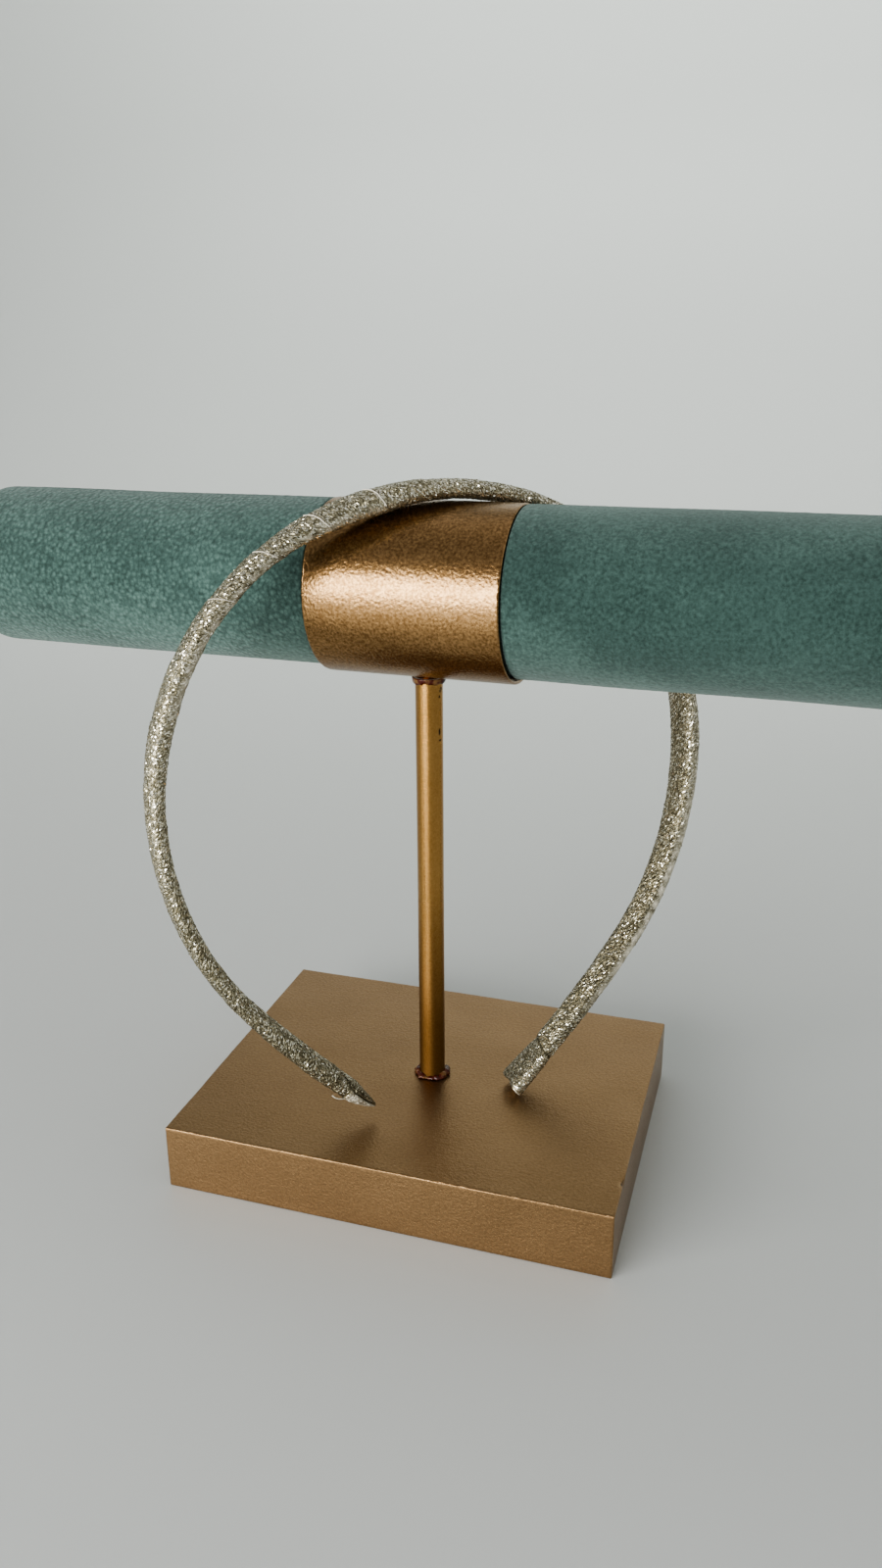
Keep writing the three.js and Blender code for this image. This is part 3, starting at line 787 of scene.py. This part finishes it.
def hang(straight):
    """Bends straight points (distance along, outwards, away from the front) to the hanging band."""
    at, out = band_line(straight[:, 0])
    stray = np.interp(straight[:, 0], BAND_SIZES[:, 0], BAND_SIZES[:, 3])
    points = at + out * (straight[:, 1] + stray)[:, None]
    points[:, 1] += straight[:, 2]
    bend = np.clip((LEFT_BEND_AT - straight[:, 0]) / (LEFT_BEND_AT - LEFT_TIP), 0, 1)
    return (points + LEFT_STRAY * bend[:, None] ** 2) @ band_turn.T + BAND_PLACE


def band_size(s):
    """Width and thickness of the band at a distance from the crown."""
    return [np.interp(s, BAND_SIZES[:, 0], BAND_SIZES[:, i]) for i in (1, 2)]


ring_angle = np.linspace(0, math.tau, 1441)
ring_out = np.sign(np.sin(ring_angle)) * np.abs(np.sin(ring_angle)) ** (2 / SECTION_POWER) / 2
ring_deep = np.sign(np.cos(ring_angle)) * np.abs(np.cos(ring_angle)) ** (2 / SECTION_POWER) / 2
ring_steps = np.hypot(np.diff(ring_out) * SECTION_THICK, np.diff(ring_deep) * SECTION_WIDE)
ring_run = np.concatenate([[0], np.cumsum(ring_steps)])
ring_run /= ring_run[-1]
ring_turn = np.unwrap(np.arctan2(ring_out, ring_deep))


def section_at(share):
    """Outward and away-from-front places round a unit section, from its far side over its outer face."""
    share = share % 1
    return np.interp(share, ring_run, ring_out), np.interp(share, ring_run, ring_deep)


def ribbon_point(s, share, rise, wide=1, thick=1):
    """A straight point at a share of the way round the band, raised off its surface."""
    out, deep = section_at(share)
    width, thickness = band_size(s)
    reach = np.hypot(out, deep)
    return np.stack([
        s, out * thickness * thick + rise * out / reach, deep * width * wide + rise * deep / reach,
    ], -1)


def turn_place(turn, share):
    """Where a turn's edge lies along the band: it crosses the outer face steeply and strays a little."""
    helix = turn + share - TURN_SLOW * (1 - np.cos(math.tau * share))
    place = TURN_AT + TURN_PITCH * helix
    for size, rate, start in TURN_WAVES:
        place = place + size * np.sin(helix * rate + start)
    return place


def glitter_piece(name, straight, faces, draw, bare, node, shade=None):
    """A ribbon mesh of small flat facets; each keeps its flake's tone, with painted light and shade by place,
    and the share of bare cloth.
    """
    facets = []
    for face in faces:
        if len(face) != 4:
            facets.append(list(face))
        else:
            a, b, c, d = face if draw.random() < 0.5 else (*face[1:], face[0])
            facets += [[a, b, c], [a, c, d]]
    piece = make_piece(name, hang(straight), facets, smooth=False)
    middle = np.array([straight[f].mean(axis=0) for f in facets])
    # Painted shade: the shade function darkens the flakes in creases and under edges.
    dim = 1 if shade is None else 1 - np.clip(shade(middle), 0, 1)
    light_lean = np.interp(middle[:, 0], FLAKE_LIGHT_LEAN[:, 0], FLAKE_LIGHT_LEAN[:, 1])
    inside = fade(middle[:, 0], INSIDE_FROM, INSIDE_RUN) * np.clip(-INSIDE_DEPTH - middle[:, 1], 0, 1)
    light_lean = light_lean + INSIDE_SHADE_LEAN * inside
    mark(piece, "flake", draw.random(len(facets)) ** light_lean * dim, "FACE")
    mark(piece, "bare", np.clip(bare(middle), 0, 1), "FACE")
    fit_piece(piece, glitter_finish, "glitter_ribbon", node)


def selvedge_and_highlight(middle):
    """The selvedge, which shows along the front edge: inside on the left leg, outside on the right. Its pale
    tone stands in for a painted highlight there as well.
    """
    along, out, deep = middle.T
    front = np.exp(-(((deep + SELVEDGE_AT) / SELVEDGE_WIDTH) ** 2))
    left = fade(-out, -0.1, 0.5) * fade(-along, LEFT_SELVEDGE_FROM, 14) * fade(along, -LEFT_SELVEDGE_TO, 10)
    right = fade(out, -0.9, 0.6) * fade(along, RIGHT_SELVEDGE_FROM, 14) * fade(-along, -RIGHT_SELVEDGE_TO, 10)
    return front * (left * LEFT_SELVEDGE + right * RIGHT_SELVEDGE) * (0.55 + 0.5 * lumps(middle, 1.2, 5))


glitter_finish, glitter_shader, glitter_nodes = new_finish(
    "champagne_glitter", FLAKE_ROUGH[0], FLAKE_METAL[0],
)
glitter_link = glitter_finish.node_tree.links.new
flake = add_node(glitter_nodes, "ShaderNodeAttribute", attribute_name="flake")
flake_tone = glitter_nodes.new("ShaderNodeValToRGB")
flake_stops = flake_tone.color_ramp.elements
flake_stops[0].color = (*FLAKE_TONES[0][1], 1)
flake_stops[1].color = (*FLAKE_TONES[-1][1], 1)
for flake_share, flake_colour in FLAKE_TONES[1:-1]:
    flake_stops.new(flake_share).color = (*flake_colour, 1)
glitter_link(flake.outputs["Fac"], flake_tone.inputs["Fac"])
bare_share = add_node(glitter_nodes, "ShaderNodeAttribute", attribute_name="bare")
cloth = add_node(glitter_nodes, "ShaderNodeMix", data_type="RGBA")
cloth.inputs["B"].default_value = CLOTH_TONE
glitter_link(bare_share.outputs["Fac"], cloth.inputs["Factor"])
glitter_link(flake_tone.outputs["Color"], cloth.inputs["A"])
glitter_link(cloth.outputs["Result"], glitter_shader.inputs["Base Color"])
flake_metal = map_value(glitter_nodes, glitter_link, bare_share.outputs["Fac"], 0, 1, *FLAKE_METAL)
glitter_link(flake_metal, glitter_shader.inputs["Metallic"])
flake_rough = map_value(glitter_nodes, glitter_link, flake.outputs["Fac"], *BRIGHT_FLAKES, *FLAKE_ROUGH)
glitter_link(flake_rough, glitter_shader.inputs["Roughness"])

ribbon_draw = np.random.default_rng(7)
turn_first = math.floor((WOUND_FROM - TURN_AT) / TURN_PITCH) - 2
turn_last = math.ceil((WOUND_TO - TURN_AT) / TURN_PITCH) + 1
inner_rows = np.linspace(*TURN_INNER, round(TURN_PITCH / GLITTER_STEP))
turn_rows = np.concatenate([[TURN_EDGE], inner_rows, [1.0]])
turn_number = np.repeat(np.arange(turn_first, turn_last + 1), len(turn_rows))[:, None]
turn_share = np.tile(turn_rows, turn_last + 1 - turn_first)[:, None]
first_row = turn_share == TURN_EDGE
edge_row = first_row | (turn_share == 1)
ribbon_shape = (len(turn_number), GLITTER_COLUMNS)
slip = ribbon_draw.uniform(-FLAKE_SLIP, FLAKE_SLIP, ribbon_shape)
around = (np.arange(GLITTER_COLUMNS) + slip) / GLITTER_COLUMNS
around[:, 0] = 0
around = np.where(edge_row, np.arange(GLITTER_COLUMNS) / GLITTER_COLUMNS, around)
along = turn_place(turn_number, around) * (1 - turn_share)
along = along + turn_place(turn_number + 1, around) * turn_share
along = along + np.where(edge_row, 0, ribbon_draw.uniform(-FLAKE_STRAY, FLAKE_STRAY, ribbon_shape))
turn_edge = np.interp(turn_number + around, TURN_STEPS[:, 0], TURN_STEPS[:, 1])
rise = np.where(first_row, 0, turn_edge * turn_share)
rise = rise + np.where(edge_row, 0, ribbon_draw.normal(0, FLAKE_TILT, ribbon_shape))
wound = ribbon_point(along.ravel(), around.ravel(), rise.ravel())
index = np.arange(len(wound)).reshape(ribbon_shape)
main = np.stack([index[:-1, :-1], index[:-1, 1:], index[1:, 1:], index[1:, :-1]], -1).reshape(-1, 4)
seam_a, seam_b = index[: -len(turn_rows), -1], index[len(turn_rows):, 0]
seam = np.stack([seam_a[:-1], seam_b[:-1], seam_b[1:], seam_a[1:]], -1)
straight_mesh = bpy.data.meshes.new("straight_ribbon")
straight_mesh.from_pydata(wound.tolist(), [], np.vstack([main, seam]).tolist())
shell = bmesh.new()
shell.from_mesh(straight_mesh)
for cut, way, slant in ((WOUND_FROM, -1, 0), (WOUND_TO, 1, SEAM_SLANT)):
    bmesh.ops.bisect_plane(
        shell, geom=shell.verts[:] + shell.edges[:] + shell.faces[:], dist=1e-5,
        plane_co=(cut, 0, 0), plane_no=(way, 0, slant), clear_outer=True,
    )
bmesh.ops.holes_fill(shell, edges=[e for e in shell.edges if e.is_boundary], sides=0)
wound = np.array([v.co for v in shell.verts])
shell.verts.index_update()
wound_faces = [[v.index for v in f.verts] for f in shell.faces]
shell.free()
bpy.data.meshes.remove(straight_mesh)
glitter_piece("glitter_winding", wound, wound_faces, ribbon_draw, selvedge_and_highlight, "wound_ribbon")

# End folds: at the left tip the ribbon's last stretch is folded over to a blunt point,
# and at the right tip its first stretch lies flat and is cut square.
FOLD_STEP = 0.2
FOLD_COLUMNS = 72
FOLD_CLOSE = 9
# Columns: share of the fold's length, width and thickness as shares of the band's, shift to the front.
LEFT_FOLD = np.array([
    (0, 1, 1, 0), (0.3, 1, 1, 0), (0.5, 0.95, 0.95, 0), (0.62, 0.8, 0.8, 0.1), (0.75, 0.58, 0.6, 0.1),
    (0.87, 0.38, 0.42, 0.2), (0.96, 0.22, 0.26, 0.3), (1, 0.14, 0.16, 0.3),
])
RIGHT_FOLD = np.array([
    (0, 0.9, 0.82, 0), (0.2, 0.95, 0.9, 0), (0.35, 1.06, 1.0, 0), (0.6, 1.14, 1.08, 0),
    (0.94, 1.2, 1.15, 0), (1, 1.16, 1.06, 0),
])
RIGHT_TUCK = 2.6
RIGHT_NOTCH = 0.8
NOTCH_REACH = 0.6
RIGHT_SLANT = 0.16
# Columns: share of the fold's length, share of the way round where the crease lies.
LEFT_CREASE = np.array([(0, 0.70), (0.3, 0.555), (0.42, 0.53), (1, 0.50)])
CREASE_DEPTH = 0.32
CREASE_WIDTH = 0.012
CREASE_SHADE = 0.011
# The second crease: how far round from the first, where along the fold it stops, its depth.
SECOND_BEYOND = 0.045
SECOND_STOP = 0.6
SECOND_DEPTH = 0.26
FLAP_LIFT = 0.22
LEFT_FOLD_THICK = 3.3
LEFT_FOLD_WIDE = 7


def fold_mesh(table, start, tip, draw, relief):
    """Straight points and faces of an end fold: rings along it, then smaller rings that close its tip."""
    count = round(abs(tip - start) / FOLD_STEP)
    run = np.concatenate([np.linspace(0, 1, count), np.full(FOLD_CLOSE, 1.0)])
    close = np.concatenate([np.ones(count), np.linspace(0.9, 0.1, FOLD_CLOSE)])
    rings = []
    for i, (share, small) in enumerate(zip(run, close)):
        wide, thick, shift = (np.interp(share, table[:, 0], table[:, c]) for c in (1, 2, 3))
        loose = 0 if i == 0 else 1
        part = (np.arange(FOLD_COLUMNS) + loose * draw.uniform(-0.25, 0.25, FOLD_COLUMNS)) / FOLD_COLUMNS
        s = np.full(FOLD_COLUMNS, start + (tip - start) * share)
        ring = ribbon_point(s, part, 0 * s, wide * small, thick * small)
        away = ring[:, 1:] / np.maximum(np.linalg.norm(ring[:, 1:], axis=1), 1e-6)[:, None]
        tilt = loose * draw.normal(0, FLAKE_TILT * 0.8, FOLD_COLUMNS)
        lift = relief(share, part, small) + tilt * (small == 1)
        ring[:, 1:] += away * lift[:, None]
        ring[:, 0] += loose * draw.uniform(-0.05, 0.05, FOLD_COLUMNS)
        ring[:, 2] -= shift
        rings.append(ring)
    return closed_rod(np.array(rings))


def left_creases(share, part, small):
    """Two sharp creases that slant to the middle and run to the point, and a raised flap below them."""
    line = np.interp(share, LEFT_CREASE[:, 0], LEFT_CREASE[:, 1])
    open_share = min(1, share * 12) * min(1, (1 - share) * 6)
    lift = -CREASE_DEPTH * np.exp(-(((part - line) / CREASE_WIDTH) ** 2)) * open_share
    second = np.exp(-(((part - line - SECOND_BEYOND) / CREASE_WIDTH) ** 2))
    lift = lift - SECOND_DEPTH * second * open_share * (share < SECOND_STOP)
    lift += FLAP_LIFT * ((part > 0.34) & (part < line - 0.02)) * (share > 0.33) * min(1, (1 - share) * 8)
    return lift * (small == 1)


def right_end(share, part, small):
    """The flat end: a low dent along its inner face."""
    return -0.1 * np.exp(-(((part - 0.75) / 0.12) ** 2)) * min(1, share * 3) * (small == 1)


def left_place(middle):
    """Share of the left fold's length, and share of the way round from the crease, for places on it."""
    along, out, deep = middle.T
    share = np.clip((along - WOUND_FROM) / (LEFT_TIP - WOUND_FROM), 0, 1)
    turn = np.arctan2(out / LEFT_FOLD_THICK, deep / LEFT_FOLD_WIDE) % math.tau
    part = np.interp(turn, ring_turn, ring_run)
    return share, part - np.interp(share, LEFT_CREASE[:, 0], LEFT_CREASE[:, 1])


def left_bare(middle):
    """The flap shows the ribbon's pale back."""
    share, beyond = left_place(middle)
    flap = (share > 0.34) * (beyond < -0.01) * (beyond > -0.2)
    return flap * (0.6 + 0.5 * lumps(middle * (0.4, 1, 1), 0.35, 8))


def left_shade(middle):
    """Painted shade in the creases: the flakes there are darker."""
    share, beyond = left_place(middle)
    second = np.exp(-(((beyond - SECOND_BEYOND) / CREASE_SHADE) ** 2)) * (share < SECOND_STOP)
    return np.maximum(np.exp(-((beyond / CREASE_SHADE) ** 2)), second) * np.clip(share * 10, 0, 0.85)


def right_bare(middle):
    """The cut shows the cloth at the very end."""
    return np.clip((middle[:, 0] - RIGHT_TIP + 0.25) / 0.3, 0, 1) * 0.9


def right_shade(middle):
    """Painted shadow under the winding's edge: the flakes there are darker."""
    beyond = middle[:, 0] + SEAM_SLANT * middle[:, 2] - WOUND_TO
    return 0.8 * np.exp(-(((beyond - 0.1) / 0.4) ** 2))


fold_draw = np.random.default_rng(17)
left_points, left_faces = fold_mesh(LEFT_FOLD, WOUND_FROM - 0.02, LEFT_TIP, fold_draw, left_creases)
glitter_piece("left_point_fold", left_points, left_faces, fold_draw, left_bare, "left_end_fold", left_shade)
right_start = WOUND_TO - RIGHT_TUCK
right_points, right_faces = fold_mesh(RIGHT_FOLD, right_start, RIGHT_TIP, fold_draw, right_end)
notch = np.exp(-(((right_points[:, 2] + 0.6) / 1.1) ** 2))
right_points[:, 0] -= RIGHT_NOTCH * notch * fade(right_points[:, 0] - RIGHT_TIP, -NOTCH_REACH, NOTCH_REACH)
right_share = fade(right_points[:, 0], WOUND_TO, RIGHT_TIP - WOUND_TO)
right_points[:, 0] -= RIGHT_SLANT * (right_points[:, 2] + 3.8) * right_share
glitter_piece(
    "right_square_fold", right_points, right_faces, fold_draw, right_bare, "right_end_fold", right_shade,
)

# Edge threads: pale threads along the ribbon's woven edge, standing out on the turns left of the crown.
# One has come loose at the left tip and curls away from it.
THREAD_SIDES = 6
THREAD_POINTS = 70
# The turns that show a thread, and its radius on each.
THREAD_TURNS = {-3: 0.09, -2: 0.11, -1: 0.15, 0: 0.15}
# The stretch of the way round where it shows, how high it lies, and how far past the turn's edge.
THREAD_SPAN = (0.20, 0.54)
THREAD_LIFT = 0.24
THREAD_PAST = 0.06
LOOSE_RADIUS = 0.15
LOOSE_POINTS = 28
THREAD_TONES = ((0.48, 0.44, 0.35), (0.70, 0.66, 0.56))


def thread(path, radius):
    """Points and faces of a thin round thread along a path."""
    path = np.asarray(path, float)
    forward = np.gradient(path, axis=0)
    forward /= np.linalg.norm(forward, axis=1)[:, None]
    side = np.cross(forward, (0.31, 0.86, 0.41))
    side /= np.linalg.norm(side, axis=1)[:, None]
    other = np.cross(forward, side)
    angle = np.linspace(0, math.tau, THREAD_SIDES, endpoint=False)
    ring = np.cos(angle)[None, :, None] * side[:, None] + np.sin(angle)[None, :, None] * other[:, None]
    thin = np.ones(len(path))
    thin[[0, -1]] = 0.5
    return closed_rod(path[:, None] + ring * (radius * thin)[:, None, None])


thread_runs = []
for turn, radius in THREAD_TURNS.items():
    part = np.linspace(*THREAD_SPAN, THREAD_POINTS)
    stray = 0.03 * np.sin(part * 90 + turn)
    lift = np.full(THREAD_POINTS, THREAD_LIFT)
    path = ribbon_point(turn_place(turn, part) + THREAD_PAST + stray, part, lift)
    thread_runs.append((path, radius))
curl = np.linspace(0, 1, LOOSE_POINTS)[:, None]
loose_end = np.hstack([
    -180.2 + 3.4 * curl, 1.7 + 1.2 * np.sin(curl * 1.8), -2.7 - 0.4 * np.sin(curl * 3),
])
thread_runs.append((loose_end, LOOSE_RADIUS))
thread_points, thread_faces = [], []
for path, radius in thread_runs:
    points, faces = thread(hang(path), radius)
    thread_faces += [[i + len(thread_points) for i in f] for f in faces]
    thread_points += points.tolist()
edge_threads = make_piece("pale_edge_threads", thread_points, thread_faces)
thread_finish, thread_shader, thread_nodes = new_finish("pale_thread", 0.7)
thread_grain = grain_in(thread_nodes, 3000, 300, 0.45, *THREAD_TONES)
thread_finish.node_tree.links.new(thread_grain.outputs["Color"], thread_shader.inputs["Base Color"])
raise_grain(thread_finish, thread_shader, thread_grain.outputs["Height"], 0.3, 0.0001)
fit_piece(edge_threads, thread_finish, "glitter_ribbon")
